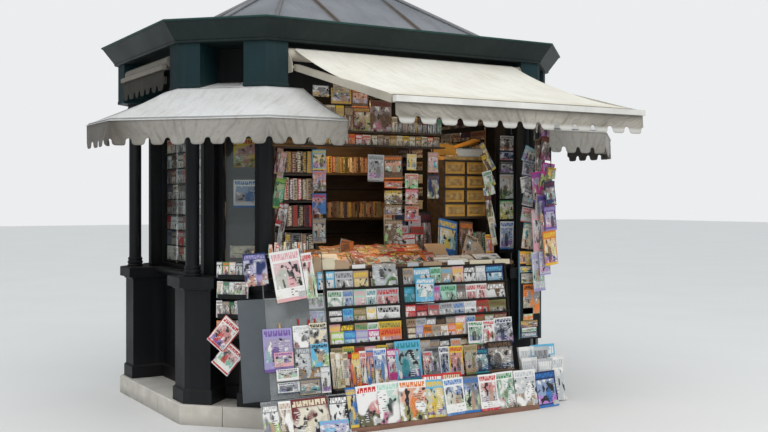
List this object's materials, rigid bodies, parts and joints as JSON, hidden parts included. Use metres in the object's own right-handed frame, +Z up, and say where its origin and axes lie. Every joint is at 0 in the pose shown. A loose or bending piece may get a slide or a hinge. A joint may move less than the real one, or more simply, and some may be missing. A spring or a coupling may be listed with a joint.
{
  "type": "street newspaper kiosk",
  "caption": "Eight-sided street kiosk with columns on angle pedestals, hipped metal roof, glazed walls, open counter, awnings and a stepped magazine display.",
  "frame": {"origin": "centre of the plan on the ground, under the stone plinth", "axes": "+Z up, +X to the right along the front, the open counter faces -Y"},
  "size_m": [4.49, 3.961, 3.479],
  "materials": {
    "stone": "sawn",
    "floor_wood": "worn",
    "dark_paint": "satin",
    "wall_paint": "satin",
    "box_paint": "satin",
    "cornice_paint": "satin",
    "rim_paint": "satin",
    "roof_metal": "matt",
    "roll_metal": "matt",
    "window_glass": "clear",
    "awning_beige": "satin",
    "awning_white": "satin",
    "awning_cloth": "weathered",
    "valance_cloth": "weathered",
    "dark_valance_cloth": "weathered",
    "tube_metal": "dull",
    "counter_wood": "worn",
    "board_wood": "worn",
    "rack_paint": "satin",
    "clear_plastic": "clear",
    "rack_wire": "satin",
    "shelf_wood": "painted",
    "box_wood": "varnished",
    "printed_paper": "printed",
    "book_board": "printed",
    "peg_wood": "raw",
    "red_plastic": "plain"
  },
  "bodies": {
    "root": {"stone_plinth": "stone", "floor_boards": "floor_wood", "front_pedestals": "dark_paint", "rear_pedestals": "dark_paint", "columns": "dark_paint", "corner_boxes": "box_paint", "wall_dados": "wall_paint", "corner_dados": "wall_paint", "counter_front": "wall_paint", "counter_top": "counter_wood", "enclosure_posts": "wall_paint", "wall_window_frames": "wall_paint", "corner_window_frames": "wall_paint", "window_glass": "window_glass", "side_door": "wall_paint", "side_door_glass": "window_glass", "frieze_panels": "wall_paint", "soffit": "cornice_paint", "cornice": "cornice_paint", "cornice_rim": "rim_paint", "front_roof_slope": "roof_metal", "rear_roof_slope": "roof_metal", "end_roof_slopes": "roof_metal", "roof_rolls": "roll_metal", "awning_roller": "awning_beige", "awning_arms": "awning_beige", "awning_front_bar": "awning_white", "awning_cloth": "awning_cloth", "awning_valance": "valance_cloth", "side_awnings": "awning_beige", "side_valances": "dark_valance_cloth", "canopy_frames": "tube_metal", "left_corner_canopy": "awning_cloth", "right_corner_canopy": "awning_cloth", "display_base": "board_wood", "display_step": "rack_paint", "display_rack": "rack_paint", "wire_stand": "tube_metal", "clear_sheets": "clear_plastic", "low_easel": "clear_plastic", "corner_wire_rack": "rack_wire", "rear_shelves": "shelf_wood", "book_shelf": "shelf_wood", "box_shelf": "box_wood", "overhead_shelves": "shelf_wood"}
  },
  "joints": []
}
